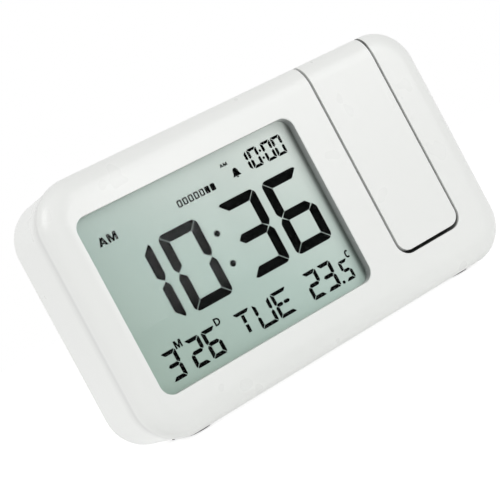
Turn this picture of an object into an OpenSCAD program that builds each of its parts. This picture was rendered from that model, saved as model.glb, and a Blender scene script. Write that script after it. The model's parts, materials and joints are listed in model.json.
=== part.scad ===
// Desk alarm clock with a fold-out projector arm.
// Front looks along -Y, width along X, +Z up. Origin: middle of the footprint, on the table.

/* [Case] */
// Width of the case
body_w = 145; // [140:1:165]
// Height of the case without its feet
body_h = 84; // [82:1:100]
// Depth of the case
body_d = 36; // [36:0.5:46]
// Corner radius seen from the front
corner_r = 14; // [11:0.5:16]
// Width of the soft front edge seen from the front
edge_w = 8; // [5:0.5:9]
// Depth of the soft front edge seen from the side
edge_d = 6; // [4:0.5:6.5]
// Rounding of the rear edge
rear_r = 4; // [3:0.5:5]
// Wall thickness of the case shells
wall = 2; // [1.6:0.1:2.4]
// Distance of the seam behind the front face
seam_depth = 6.7; // [6.6:0.1:8]
// Width of the visible seam between the shells
seam_gap = 0.2; // [0.1:0.05:0.4]
// How far the rear shell is set in behind the front shell's edge
seam_step = 0.35; // [0.2:0.05:0.5]
// Length of the locating lip behind the seam
lip_l = 2.5; // [1.5:0.5:3.5]
// Height of the rubber feet under the case
foot_h = 0.8; // [0.6:0.1:1.5]
// Radius of a rubber foot
foot_r = 4; // [3:0.5:5]

/* [Display] */
// Width of the front between the display window and the arm's slot
land_w = 12.2; // [11:0.1:16]
// Distance from the case's base to the display window
window_foot = 13.2; // [13:0.1:16]
// Distance from the case's top to the display window
window_head = 12.8; // [12.5:0.1:16]
// Corner radius of the display window
window_r = 4.2; // [2.5:0.1:5]
// Distance from the left side of the case to the window
window_side = 8.6; // [8.5:0.1:11]
// Depth from the front face to the clear window pane
recess_d = 3.4; // [3.2:0.1:4]
// Thickness of the clear window pane
pane_t = 1.2; // [0.8:0.1:1.5]
// Thickness of the display glass
glass_t = 2.2; // [1.6:0.1:2.5]
// Thickness of the light guide behind the display
guide_t = 2.5; // [2:0.1:3]
// Height of the time digits
time_h = 25.4; // [20:0.1:28]
// Width of the time digits
time_w = 14.3; // [10:0.1:14.5]
// Bar thickness of the time digits
time_t = 3.1; // [2:0.1:3.5]

/* [Arm] */
// Width of the slot that the projector arm folds into
slot_w = 27.3; // [26:0.1:29]
// Distance from the right side of the case to the slot
slot_side = 16; // [15.8:0.1:18]
// Height of the slot's lower end above the case's base
slot_foot = 14; // [12:0.1:18]
// Gap on each side of the arm
arm_gap = 0.95; // [0.7:0.05:1.1]
// Gap below the arm
arm_foot_gap = 1.2; // [1.1:0.05:1.5]
// Thickness of the arm from front to back
arm_t = 13; // [13:0.5:14]
// Lower corner radius of the arm seen from the front
arm_r = 4; // [2:0.5:6]
// Wall thickness of the arm's covers
arm_wall = 1.4; // [1.2:0.1:1.6]
// Radius of the hinge barrel at the arm's top
barrel_r = 7; // [7:0.1:7.5]
// Gap between the barrel and the slot's back wall
barrel_gap = 0.6; // [0.5:0.05:1]
// Radius of the hollow hinge pins
pin_r = 2; // [1.8:0.1:2.4]
// Running clearance of a shaft in its bore
run_gap = 0.05; // [0.03:0.01:0.08]
// Depth of a hinge pin in the barrel
pin_l = 4; // [3:0.5:5]
// Wall thickness of the slot in the case
well_wall = 1.8; // [1.5:0.1:1.9]

/* [Projector] */
// Outer radius of the focus wheel
wheel_r = 5.9; // [5.7:0.05:6]
// How far the focus wheel stands out of the arm's back
wheel_proud = 0.6; // [0.3:0.05:0.65]
// Thickness of the focus wheel
wheel_t = 4; // [3:0.5:5]
// Height of the focus wheel's middle above the arm's end
wheel_z = 10; // [9:0.5:12]
// Outer radius of the sliding lens tube
tube_r = 3.8; // [3.4:0.1:3.9]
// Wall thickness of the lens tube
tube_wall = 0.6; // [0.5:0.1:0.8]
// Length of the lens tube
tube_l = 14; // [12:1:16]
// How far the lens tube rests inside the arm's end
tube_inset = 2; // [1.1:0.1:2.4]
// Radius of the projector lamp
lamp_r = 2.5; // [1.5:0.5:3]

/* [Battery] */
// Diameter of a battery cell
cell_d = 10.5; // [10.2:0.1:10.8]
// Length of a battery cell
cell_l = 44.5; // [44:0.1:45]
// Distance between neighbouring cells
cell_pitch = 11.2; // [11:0.1:12]
// Number of cells
cell_n = 3; // [2:1:3]
// Thickness of the battery door
door_t = 1.6; // [1.2:0.1:2]
// Height of the lowest cell's axis above the case's base
cell_z = 16.2; // [15:0.1:17]

/* [Controls] */
// Length of the snooze bar on the top
bar_l = 60; // [40:1:64]
// Width of the snooze bar from front to back
bar_w = 14; // [12:0.5:16]
// Travel of the snooze bar
bar_travel = 0.8; // [0.5:0.1:1]
// Number of setting buttons on the back
button_n = 5; // [5:1:5]
// Width of a setting button
button_w = 8; // [6:0.5:9]
// Height of a setting button
button_h = 5; // [4:0.5:6]
// Distance between neighbouring setting buttons
button_pitch = 13; // [12:0.5:13.5]
// Travel of a setting button
button_travel = 0.5; // [0.3:0.1:0.6]
// Travel of the projector switch
switch_travel = 4; // [3:0.5:4]
// Depth of the recessed control panel in the back
panel_d = 0.8; // [0.5:0.1:0.9]
// Radius of the alarm sounder
sounder_r = 11; // [9:0.5:12]

/* [Hidden] */
$fn = 64;

cut = 0.5;          // how far a cutting shape runs past the surface that it opens
fit = 0.1;          // clearance of a piece dropped into its seat
gap = 0.3;          // clearance round a moving key, bar or door
edge_steps = 10;    // facets in the soft front edge
lead_r = 0.6;       // radius of a wire's jacket

// case
x_left = -body_w / 2;
x_right = body_w / 2;
y_front = -body_d / 2;
y_rear = body_d / 2;
z_base = foot_h;
z_top = z_base + body_h;
z_mid = z_base + body_h / 2;
seam_y = y_front + seam_depth;
lip_t = 1;
foot_seat = seam_step + 0.4;
foot_x = body_w / 2 - corner_r - foot_r - 0.5;
foot_y = [-4, y_rear - 9];

// display stack, front to back
window_w = body_w - window_side - land_w - slot_w - slot_side;
window_h = body_h - window_foot - window_head;
window_x = x_left + window_side + window_w / 2;
window_z = z_base + window_foot + window_h / 2;
lcd_x = window_w / 100;     // the display's marks are placed in hundredths of the window
lcd_z = window_h / 100;
lcd_off = 0.36;             // the display's marks stand to the right of the window's middle by this much
pane_over = 1.2;
glass_over = 0.9;
frame_in = pane_over + fit;
frame_over = 3;
pane_y = y_front + recess_d;
segment_y = pane_y + pane_t;
segment_t = 0.1;
bar_split = 0.15;
glass_y = segment_y + segment_t;
guide_y = glass_y + glass_t;
board_y = guide_y + guide_t + 0.6;
board_t = 1.4;
board_back = board_y + board_t;
strip_h = 1.6;
chip_r = 6;
chip_h = 1.4;
quartz_r = 1;
quartz_l = 6;
capacitor_r = 3;
capacitor_l = 7;
sensor_r = 1.3;
lamp_w = 2;

// arm and slot
slot_x1 = x_right - slot_side;
slot_x0 = slot_x1 - slot_w;
slot_z = z_base + slot_foot;
arm_x0 = slot_x0 + arm_gap;
arm_x1 = slot_x1 - arm_gap;
arm_x = (arm_x0 + arm_x1) / 2;
arm_z = slot_z + arm_foot_gap;
arm_back = y_front + arm_t;
hinge_y = y_front + arm_t / 2;
hinge_z = z_top - barrel_r;
slot_back = hinge_y + barrel_r + barrel_gap;
well_back = slot_back + well_wall;
pin_bore = 1;
pin_head_r = 3.2;
pin_head_t = 1;
washer_t = arm_gap - 2 * fit;
washer_r = 4.5;

// arm interior
end_wall = 2;
plate_t = 1.3;
plate_y = arm_back - plate_t;
room_x0 = arm_x0 + arm_wall;
room_x1 = arm_x1 - arm_wall;
room_y = y_front + arm_wall;
room_z0 = arm_z + end_wall;
room_z1 = hinge_z - 5;
plate_z1 = hinge_z - 6;
barrel_in_r = 4.6;
barrel_in_x0 = arm_x0 + pin_l + 1;
barrel_in_x1 = arm_x1 - pin_l - 1;

// projector, from the arm's end up to the lamp
lens_y = arm_back + wheel_proud - wheel_r;
focus_z = arm_z + wheel_z;
bearing_t = 1.6;
bearing_gap = 0.4;
bearing_y = 2.5;
tube_z = arm_z + tube_inset;
holder_w = 14;
holder_bore = 3.5;
slide_t = 1.1;
slide_w = 12;
lamp_h = 6;
lamp_gap = 1;
pboard_t = 1;
arm_boss_r = 2;
arm_boss_x = arm_boss_r + 0.2;
arm_boss_z = plate_z1 - 6.3;
pboard_z = arm_boss_z - arm_boss_r - 1.5 - pboard_t;
lamp_z = pboard_z - lamp_h;
optics_room = lamp_z - lamp_gap - tube_z - tube_l;  // from the lens tube up to the lamp
holder_h = optics_room * 7 / 11;
holder_z = lamp_z - lamp_gap - holder_h;
condenser_z = holder_z + holder_h * 4 / 7;
condenser_t = 1.2;
condenser_crown = 0.9;
lens_t = 1;
lens_crown = 0.7;
lens_inset = 1.4;
arm_screw_r = 0.8;
arm_head_r = 1.5;
arm_head_h = 0.75;
arm_seat = plate_y + 0.5;

// battery tray
cell_r = cell_d / 2;
tray_wall = 2;
tray_room = 0.2;
latch_room = 1.5;
spring_room = 4;
plate_room = 1;
door_over = 1.6;
door_r = 2;
latch_w = 12;
latch_l = 5;
latch_t = 0.9;
notch_r = 4;
notch_w = 14;
notch_out = 3;
door_y = y_rear - door_t;
cell_y = door_y - 0.3 - cell_r;
tray_floor = cell_y - cell_r - tray_room;
tray_x0 = x_left + 20.5;
tray_x1 = tray_x0 + spring_room + cell_l + plate_room;
tray_z0 = z_base + cell_z - cell_r - tray_room - 0.3;
tray_z1 = z_base + cell_z + (cell_n - 1) * cell_pitch + cell_r + tray_room + latch_room;
cell_x0 = tray_x0 + spring_room;
cell_tip = 1;
cell_tip_r = 1.9;
contact_t = 0.4;
contact_w = 8;
contact_h = 9;
contact_r = 1.5;
spring_r = 3.4;
spring_taper = 0.3;

// case screws
boss_r = 3;
meet_y = -4;
screw_r = 1.2;
screw_head_r = 2.4;
screw_head_h = 1.6;
head_wall = 1.2;
screw_seat = meet_y + 6;
screw_tip = seam_y - 1;
left_boss_x = x_left + corner_r + 3.9;
right_boss_x = x_right - 8.3;
left_boss_z = 6.4;
right_boss_z = corner_r - 3.8;
case_spots = [[left_boss_x, z_base + left_boss_z], [left_boss_x, z_top - left_boss_z],
    [right_boss_x, z_base + right_boss_z], [right_boss_x, z_top - right_boss_z]];

// main board screws
ear_r = 2.8;
ear_boss_r = 2.4;
small_screw_r = 0.9;
small_head_r = 1.8;
small_head_h = 1.2;
ear_x = [left_boss_x + 10.95, left_boss_x + 50.95];
board_spots = [for (x = ear_x, z = [z_base + left_boss_z, z_top - left_boss_z]) [x, z]];

// controls on the back
panel_z = (tray_z1 + tray_wall + z_top - left_boss_z - screw_head_r - head_wall) / 2;
panel_h = 14;
key_t = 1.2;
key_y = y_rear - wall - 7;
key_back = key_y + key_t;
key_h = 16;
tact_w = 4.5;
tact_h = 2.6;
tact_pin_r = 1.2;
tact_pin_h = 0.4;
button_x0 = x_left + 23.5;
button_y1 = y_rear - 0.1;
button_y0 = key_back + tact_h + tact_pin_h + button_travel + fit;
flange_t = 1.1;
flange_over = 0.8;
flange_y = y_rear - wall - gap - flange_t;
switch_x = button_x0 + 5 * button_pitch + 1;
switch_w = 4;
switch_h = 2.8;
panel_over = 7;
panel_x0 = button_x0 - panel_over;
panel_x1 = switch_x + switch_travel + panel_over;
panel_r = 4;
key_boss_r = 2.2;
key_spot_in = 1.8;
key_spot_z = 5.8;
key_spots = [for (x = [panel_x0 + key_spot_in, panel_x1 - key_spot_in], dz = [-key_spot_z, key_spot_z])
    [x, panel_z + dz]];
ribbon_w = 8;
ribbon_t = 0.6;
ribbon_x1 = window_x + window_w / 2 - 2.6;

// snooze bar on the top
bar_x = left_boss_x + 34.6;
bar_t = 2.4;
bar_flange_t = 0.9;
bar_flange_over = 1.2;
bar_y = board_back + 0.4 + bar_flange_over + bar_w / 2;  // clear of the main board's ears
bar_flange_z = z_top - wall - gap - bar_flange_t;
snooze_y = board_back + 1.7;
snooze_z = z_top - 14.6;
snooze_h = 4.2;
snooze_pin_z = snooze_z + snooze_h + 1;

// sounder
sounder_x = arm_x + 1.2;
sounder_up = 35;
sounder_z = z_base + sounder_up;
sounder_h = 5;
sounder_ring = 1.2;
sounder_rim = 2;
sounder_lid = 0.6;

white = [0.93, 0.94, 0.92];
dark = [0.12, 0.12, 0.13];
green = [0.1, 0.35, 0.2];
steel = [0.75, 0.76, 0.78];

// ---- helpers ----

// extrudes a drawing in X and Z from y0 to y1
module along_y(y0, y1) translate([0, y1, 0]) rotate([90, 0, 0]) linear_extrude(y1 - y0) children();

// extrudes a drawing in Y and Z from x0 to x1
module along_x(x0, x1) translate([x0, 0, 0]) rotate([90, 0, 90]) linear_extrude(x1 - x0) children();

module block(x0, x1, y0, y1, z0, z1) translate([x0, y0, z0]) cube([x1 - x0, y1 - y0, z1 - z0]);

// rod along Y from y0 to y1
module rod_y(x, z, r, y0, y1) translate([x, y1, z]) rotate([90, 0, 0]) cylinder(r = r, h = y1 - y0);

// rod along X from x0 to x1
module rod_x(y, z, r, x0, x1) translate([x0, y, z]) rotate([0, 90, 0]) cylinder(r = r, h = x1 - x0);

// rod along Z on the projector's axis from z0 to z1
module optic(r, z0, z1) translate([arm_x, lens_y, z0]) cylinder(r = r, h = z1 - z0);

// rectangle w x h with corner radius r, centred at (x, z)
module round_rect(x, z, w, h, r) translate([x, z]) {
    square([w - 2 * r, h], center = true);
    square([w, h - 2 * r], center = true);
    for (sx = [-1, 1], sz = [-1, 1]) translate([sx * (w / 2 - r), sz * (h / 2 - r)]) circle(r);
}

// points of a quarter ellipse, w in from the side and d deep, as [inset, depth]
function edge_points(w, d) =
    [for (i = [0:edge_steps]) let (a = 90 * i / edge_steps) [w * (1 - sin(a)), d * (1 - cos(a))]];

// case outline shrunk by inset, from its soft edge at y_face to its open end at y_open
module pillow(inset, y_face, y_open, ew, ed) {
    w = body_w - 2 * inset;
    h = body_h - 2 * inset;
    r = corner_r - inset;
    way = y_open > y_face ? 1 : -1;
    edge = edge_points(ew, ed);
    corner = concat([[0, y_face]], [for (p = edge) [r - p[0], y_face + way * p[1]]],
        [[r, y_open], [0, y_open]]);
    side_x = concat([for (p = edge) [w / 2 - p[0], y_face + way * p[1]]], [[w / 2, y_open]]);
    side_z = [for (p = side_x) [p[1], z_mid - w / 2 + h / 2 + p[0]]];
    mirror_x = [for (i = [len(side_x) - 1:-1:0]) [-side_x[i][0], side_x[i][1]]];
    mirror_z = [for (i = [len(side_z) - 1:-1:0]) [side_z[i][0], 2 * z_mid - side_z[i][1]]];
    translate([0, 0, z_mid - h / 2 + r]) linear_extrude(h - 2 * r) polygon(concat(side_x, mirror_x));
    along_x(-w / 2 + r, w / 2 - r) polygon(concat(side_z, mirror_z));
    for (q = [[1, 1, -90], [-1, 1, 180], [-1, -1, 90], [1, -1, 0]])
        translate([q[0] * (w / 2 - r), 0, z_mid + q[1] * (h / 2 - r)])
            rotate([-90, 0, 0]) rotate([0, 0, q[2]]) rotate_extrude(angle = 90) polygon(corner);
}

// pill-shaped drawing of length w and height h, centred at (x, z)
module pill(x, z, w, h) round_rect(x, z, w, h, h / 2 - 0.01);

// round wire through a list of points
module wire(points, r) {
    for (i = [0:len(points) - 2]) {
        run = points[i + 1] - points[i];
        translate(points[i]) rotate([0, acos(run[2] / norm(run)), atan2(run[1], run[0])])
            cylinder(r = r, h = norm(run), $fn = 16);
        if (i > 0) translate(points[i]) sphere(r * 1.05, $fn = 16);
    }
}

// screw along Y: its head's outer face at y_head, its tip at y_tip
module screw(x, z, y_head, y_tip, r, head_r, head_h) {
    way = y_head > y_tip ? 1 : -1;
    y_neck = y_head - way * head_h;
    slot_d = head_h / 2;
    difference() {
        union() {
            rod_y(x, z, head_r, min(y_head, y_neck), max(y_head, y_neck));
            rod_y(x, z, r, min(y_tip, y_neck), max(y_tip, y_neck));
        }
        for (s = [[head_r * 1.2, 0.5], [0.5, head_r * 1.2]])
            translate([x, y_head, z]) cube([s[0], 2 * slot_d, s[1]], center = true);
    }
}

// ---- case ----

module window_outline(over) round_rect(window_x, window_z, window_w + 2 * over, window_h + 2 * over,
    window_r + over);

// the arm's outline from the front, grown by side and foot, up to z1
module arm_outline(side, foot, z1) {
    r = arm_r + side;
    x0 = arm_x0 - side;
    x1 = arm_x1 + side;
    z0 = arm_z - foot;
    translate([x0, z0 + r]) square([x1 - x0, z1 - z0 - r]);
    translate([x0 + r, z0]) square([x1 - x0 - 2 * r, r + cut]);
    for (x = [x0 + r, x1 - r]) translate([x, z0 + r]) circle(r);
}

module front_shell() color(white) difference() {
    union() {
        difference() {
            pillow(0, y_front, seam_y, edge_w, edge_d);
            pillow(wall, y_front + wall, seam_y + cut, edge_w - wall, edge_d - wall);
        }
        locating_lip();
        intersection() {
            pillow(0, y_front, well_back, edge_w, edge_d);
            block(slot_x0 - well_wall, slot_x1 + well_wall, y_front, well_back, slot_z - well_wall, z_top);
        }
        along_y(y_front + wall - cut, pane_y) window_outline(frame_over);
        for (p = case_spots) rod_y(p[0], p[1], boss_r, y_front + wall / 2, meet_y);
        for (p = board_spots) rod_y(p[0], p[1], ear_boss_r, y_front + wall / 2, board_y);
    }
    along_y(y_front - cut, slot_back) arm_outline(arm_gap, arm_foot_gap, z_top + cut);
    along_y(y_front - cut, pane_y + cut) window_outline(0);
    rod_x(hinge_y, hinge_z, pin_r, slot_x0 - well_wall - cut, slot_x1 + well_wall + cut);
    for (p = case_spots) rod_y(p[0], p[1], screw_r, screw_tip, meet_y + cut);
    for (p = board_spots) rod_y(p[0], p[1], small_screw_r, y_front + wall + 2, board_y + cut);
}

module locating_lip() difference() {
    lip_in = wall + 0.15;
    pillow_ring(lip_in, seam_y - 1, seam_y + lip_l);
    pillow_ring(lip_in + lip_t, seam_y - 2, seam_y + lip_l + cut);
    block(slot_x0 - well_wall, slot_x1 + well_wall, seam_y - 2, seam_y + lip_l + cut, z_mid, z_top);
}

module pillow_ring(inset, y0, y1) along_y(y0, y1)
    round_rect(0, z_mid, body_w - 2 * inset, body_h - 2 * inset, corner_r - inset);

module rear_shell() color(white) difference() {
    union() {
        difference() {
            pillow(seam_step, y_rear, seam_y + seam_gap, rear_r, rear_r);
            pillow(wall, y_rear - wall, seam_y - cut, rear_r - wall, rear_r - wall);
        }
        block(tray_x0 - tray_wall, tray_x1 + tray_wall, tray_floor - 1.2, door_y, tray_z0 - tray_wall,
            tray_z1 + tray_wall);
        for (p = case_spots) rod_y(p[0], p[1], screw_head_r + head_wall, meet_y, y_rear - wall / 2);
        for (p = key_spots) rod_y(p[0], p[1], key_boss_r, key_back, y_rear - wall / 2);
        rod_y(sounder_x, sounder_z, sounder_r + fit + sounder_ring, y_rear - wall - sounder_h + 1,
            y_rear - wall / 2);
    }
    for (p = case_spots) {
        rod_y(p[0], p[1], screw_head_r + 0.2, screw_seat, y_rear + cut);
        rod_y(p[0], p[1], screw_r + 0.2, meet_y - cut, screw_seat + cut);
    }
    for (p = key_spots) rod_y(p[0], p[1], small_screw_r, key_back - cut, y_rear - wall);
    rod_y(sounder_x, sounder_z, sounder_r + fit, tray_floor, y_rear - wall);
    sound_holes();
    block(tray_x0, tray_x1, tray_floor, y_rear + cut, tray_z0, tray_z1);
    along_y(door_y, y_rear + cut) door_outline(gap / 2);
    along_y(y_rear - panel_d, y_rear + cut) panel_outline();
    for (i = [0:button_n - 1]) along_y(y_rear - wall - cut, y_rear)
        pill(button_x0 + i * button_pitch, panel_z, button_w + 2 * gap, button_h + 2 * gap);
    along_y(y_rear - wall - cut, y_rear)
        pill(switch_x + switch_travel / 2, panel_z, switch_w + switch_travel + 2 * gap, switch_h + 2 * gap);
    translate([0, 0, z_top - wall - cut]) linear_extrude(wall + 2 * cut)
        round_rect(bar_x, bar_y, bar_l + 2 * gap, bar_w + 2 * gap, bar_w / 4);
    block(slot_x0 - well_wall - fit, slot_x1 + well_wall + fit, seam_y - cut, well_back + fit,
        z_mid, z_top + cut);
    for (x = [-foot_x, foot_x], y = foot_y)
        translate([x, y, z_base - cut]) cylinder(r = foot_r, h = cut + foot_seat);
}

module panel_outline() round_rect((panel_x0 + panel_x1) / 2, panel_z, panel_x1 - panel_x0, panel_h, panel_r);

module sound_holes() for (ring = [[0, 1], [3.2, 6], [6.4, 12]], i = [0:ring[1] - 1]) {
    a = 360 * i / ring[1];
    rod_y(sounder_x + ring[0] * cos(a), sounder_z + ring[0] * sin(a), 0.9, y_rear - wall - cut, y_rear + cut);
}

module feet() color(dark) for (x = [-foot_x, foot_x], y = foot_y)
    translate([x, y, 0]) cylinder(r = foot_r, h = foot_h + foot_seat);

module case_screws() color(steel) for (p = case_spots)
    screw(p[0], p[1], screw_seat + screw_head_h, screw_tip + 1, screw_r, screw_head_r, screw_head_h);

// ---- display ----

module window_pane() color([0.85, 0.9, 0.88, 0.35]) along_y(pane_y, segment_y) window_outline(pane_over);

module display_glass() color([0.66, 0.73, 0.7]) along_y(glass_y, guide_y) window_outline(glass_over);

module display_frame() color(white) difference() {
    along_y(pane_y, board_y) window_outline(frame_over);
    along_y(pane_y - cut, board_y + cut) window_outline(frame_in);
}

module light_guide() color([0.95, 0.97, 0.95]) intersection() {
    along_y(guide_y, guide_y + guide_t) window_outline(glass_over - fit);
    block(window_x - window_w, window_x + window_w / 2 - lamp_w, guide_y - cut, guide_y + guide_t + cut,
        window_z - window_h / 2 + strip_h, window_z + window_h);
}

module backlight_lamps() color([0.9, 0.9, 0.7]) for (dz = [-14, 14])
    translate([window_x + window_w / 2 - lamp_w + gap, guide_y + gap, window_z + dz])
        cube([lamp_w, board_y - guide_y - gap, 3]);

module contact_strip() color(dark) {
    half_w = window_w / 2 - 8;
    foot_z = window_z - window_h / 2;
    block(window_x - half_w, window_x + half_w, guide_y, board_y, foot_z - glass_over + fit,
        foot_z + strip_h - 2 * fit);
}

// the bars of one sign w wide and h high, t thick, with rounded outer corners and its lower left corner
// at the origin: top, upper right, lower right, foot, lower left, upper left, middle, then the middle's
// left and right halves and the upper and lower halves of a centre stem
module sign_bars(lit, w, h, t, split) {
    m = h / 2;
    round_in = [0.18 * t, 0.37 * t, 0.6 * t];
    round_out = 0.05 * t;
    side = [[w - round_in[0], h - round_in[0] - split], [w - t, h - t - split], [w - t, m + t / 2 + split],
        [w - 0.35 * t, m + split], [w, m + t / 2 + split], [w, h - round_in[2]],
        [w - round_out, h - round_in[1]]];
    half = [[round_in[0] + split, h - round_in[0]], [round_in[1], h - round_out], [round_in[2], h]];
    bar = concat(half, [for (k = [2:-1:0]) [w - half[k][0], half[k][1]]],
        [[w - t - split, h - t], [t + split, h - t]]);
    point_x = 0.45 * t + split;
    flat_x = point_x + t / 2;
    middle = [[point_x, m], [flat_x, m + t / 2], [w - flat_x, m + t / 2], [w - point_x, m],
        [w - flat_x, m - t / 2], [flat_x, m - t / 2]];
    dash_x = w / 2 - split;
    dash = [[point_x, m], [flat_x, m + t / 2], [dash_x - t / 3, m + t / 2], [dash_x, m],
        [dash_x - t / 3, m - t / 2], [flat_x, m - t / 2]];
    stem_x = [w / 2 - t / 2, w / 2 + t / 2];
    stem_z = [m + 2 * split, h - t - 2 * split];
    stem = [[stem_x[0], stem_z[0]], [stem_x[1], stem_z[0]], [stem_x[1], stem_z[1]], [stem_x[0], stem_z[1]]];
    bars = [bar, side, [for (p = side) [p[0], h - p[1]]], [for (p = bar) [p[0], h - p[1]]],
        [for (p = side) [w - p[0], h - p[1]]], [for (p = side) [w - p[0], p[1]]], middle, dash,
        [for (p = dash) [w - p[0], p[1]]], stem, [for (p = stem) [p[0], h - p[1]]]];
    for (k = lit) polygon(bars[k]);
}

function digit_bars(value) = [[0, 1, 2, 3, 4, 5], [1, 2], [0, 1, 6, 4, 3], [0, 1, 6, 2, 3], [5, 6, 1, 2],
    [0, 5, 6, 2, 3], [0, 5, 6, 4, 3, 2], [0, 1, 2], [0, 1, 2, 3, 4, 5, 6], [0, 1, 2, 3, 5, 6]][value];

// a row of digits: each entry is [value, distance from the row's start]
module digit_row(x, z, row, w, h, t) for (d = row)
    at_share(x + d[1], z) sign_bars(digit_bars(d[0]), w, h, t, bar_split);

// a place on the display in hundredths of the window, from its middle
module at_share(x, z) translate([window_x + lcd_off + x * lcd_x, window_z + z * lcd_z]) children();

module display_segments() color([0.05, 0.06, 0.06]) along_y(segment_y, glass_y) {
    time_z = -19.75;
    low_z = -45.17;
    low_h = 15.69 * lcd_z;
    low_t = 1.5 * lcd_x;
    digit_row(-43.17, time_z, [[1, 0], [0, 21.38], [3, 49.1], [6, 70.28]], time_w, time_h, time_t);
    for (z = [-6.47, 11.21]) at_share(0.9, z) circle(time_t / 3);
    digit_row(-42.61, low_z, [[3, 0], [2, 10.62], [6, 18.14]], 6.43 * lcd_x, low_h, low_t);
    digit_row(24.15, low_z, [[2, 0], [3, 7.33]], 6.5 * lcd_x, low_h, low_t);
    at_share(39.48, -44.31) circle(0.65 * lcd_x);
    digit_row(40.81, low_z, [[5, 0]], 4.6 * lcd_x, 11.9 * lcd_z, 1.2 * lcd_x);
    digit_row(23.26, 32.24, [[1, 0], [0, 5.13], [0, 11.87], [0, 16.94]], 4.57 * lcd_x, 11.2 * lcd_z,
        1.1 * lcd_x);
    for (z = [35.52, 39.83]) at_share(34.04, z) circle(0.5 * lcd_x);
    for (sign = [[[0, 9, 10], -9.89], [[1, 2, 3, 4, 5], -0.92], [[0, 3, 4, 5, 7, 8], 7.96]])
        at_share(sign[1], low_z + 0.52) sign_bars(sign[0], 7.8 * lcd_x, low_h - 0.7, 1.35 * lcd_x, bar_split);
}

// ---- electronics ----

module main_board() color(green) difference() {
    along_y(board_y, board_back) {
        window_outline(frame_over);
        for (p = board_spots) {
            z_in = window_z + (p[1] > z_mid ? 1 : -1) * window_h / 2;
            translate([p[0], p[1]]) circle(ear_r);
            translate([p[0], (p[1] + z_in) / 2]) square([2 * ear_r, abs(p[1] - z_in)], center = true);
        }
    }
    for (p = board_spots) rod_y(p[0], p[1], small_screw_r + fit, board_y - cut, board_back + cut);
}

module board_screws() color(steel) for (p = board_spots)
    screw(p[0], p[1], board_back + small_head_h, y_front + wall + 3, small_screw_r, small_head_r,
        small_head_h);

module processor() color(dark) translate([window_x + 3, board_back, window_z - 2]) rotate([-90, 0, 0])
    rotate_extrude() polygon([[0, 0], [chip_r, 0], [chip_r - 0.2, chip_h / 2], [chip_r - 1.2, chip_h - 0.2],
        [0, chip_h]]);

module quartz_crystal() color(steel) rod_x(board_back + quartz_r, window_z - 14,
    quartz_r, window_x - 10 - quartz_l, window_x - 10);

module capacitor() color([0.15, 0.2, 0.45])
    rod_y(window_x + 24, window_z + 12, capacitor_r, board_back, board_back + capacitor_l);

module temperature_sensor() color([0.2, 0.25, 0.3]) {
    x = window_x - window_w / 2 + 4.25;
    z = window_z - window_h / 2 + 7;
    for (dx = [-0.6, 0.6]) rod_y(x + dx, z, 0.25, board_back, board_back + 3);
    translate([x, board_back + 3.6, z]) sphere(sensor_r);
}

module snooze_switch() color(dark) {
    block(bar_x - 3, bar_x + 3, board_back, snooze_y + 1.7, snooze_z, snooze_z + snooze_h);
    translate([bar_x, snooze_y, snooze_z]) cylinder(r = tact_pin_r, h = snooze_pin_z - snooze_z);
}

module key_board() color(green) difference() {
    along_y(key_y, key_back)
        round_rect((panel_x0 + panel_x1) / 2, panel_z, panel_x1 - panel_x0 + 2, key_h, 1);
    for (p = key_spots) rod_y(p[0], p[1], small_screw_r + fit, key_y - cut, key_back + cut);
}

module key_screws() color(steel) for (p = key_spots)
    screw(p[0], p[1], key_y - small_head_h, y_rear - wall - 1, small_screw_r, small_head_r, small_head_h);

module key_switches() color(dark) for (i = [0:button_n - 1]) {
    x = button_x0 + i * button_pitch;
    block(x - tact_w / 2, x + tact_w / 2, key_back, key_back + tact_h,
        panel_z - tact_w / 2, panel_z + tact_w / 2);
    rod_y(x, panel_z, tact_pin_r, key_back, key_back + tact_h + tact_pin_h);
}

module switch_base() color(steel) block(switch_x - switch_w / 2 - 1,
    switch_x + switch_travel + switch_w / 2 + 1, key_back, flange_y - gap, panel_z - 2, panel_z + 2);

module key_ribbon() color([0.6, 0.6, 0.6]) block(ribbon_x1 - ribbon_w, ribbon_x1, board_back, key_y,
    panel_z - ribbon_t / 2, panel_z + ribbon_t / 2);

module sounder() color([0.75, 0.6, 0.25]) {
    lid_y = y_rear - wall - sounder_lid;
    rod_y(sounder_x, sounder_z, sounder_r, y_rear - wall - sounder_h, lid_y);
    rod_y(sounder_x, sounder_z, sounder_r - sounder_rim, lid_y, y_rear - wall);
}

// ---- battery ----

function cell_axis(i) = z_base + cell_z + i * cell_pitch;

module battery_cells() color([0.3, 0.32, 0.35]) for (i = [0:cell_n - 1]) {
    flip = i % 2;
    body_x = flip == 0 ? cell_x0 : cell_x0 + cell_tip;
    tip_x = flip == 0 ? cell_x0 + cell_l - cell_tip - cut : cell_x0;
    rod_x(cell_y, cell_axis(i), cell_r, body_x, body_x + cell_l - cell_tip);
    rod_x(cell_y, cell_axis(i), cell_tip_r, tip_x, tip_x + cell_tip + cut);
}

// a cone of wire turns standing on a small plate
module contact_springs() color(steel) for (i = [0:cell_n - 1]) {
    wire_r = 0.4;
    turns = 5;
    rise = (spring_room - contact_t - 1.8 * wire_r) / (turns - 1);
    contact(tray_x0, i);
    translate([tray_x0 + contact_t, cell_y, cell_axis(i)]) rotate([0, 90, 0]) for (k = [0:turns - 1])
        translate([0, 0, wire_r * 0.8 + k * rise])
            rotate_extrude() translate([spring_r - k * spring_taper, 0]) circle(wire_r, $fn = 16);
}

module contact_plates() color(steel) for (i = [0:cell_n - 1]) {
    contact(tray_x1 - contact_t, i);
    rod_x(cell_y, cell_axis(i), contact_r, cell_x0 + cell_l, tray_x1 - contact_t);
}

// contact sheet behind cell i, from x to the wall
module contact(x, i) translate([x, cell_y - contact_w / 2, cell_axis(i) - contact_h / 2])
    cube([contact_t, contact_w, contact_h]);

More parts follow.
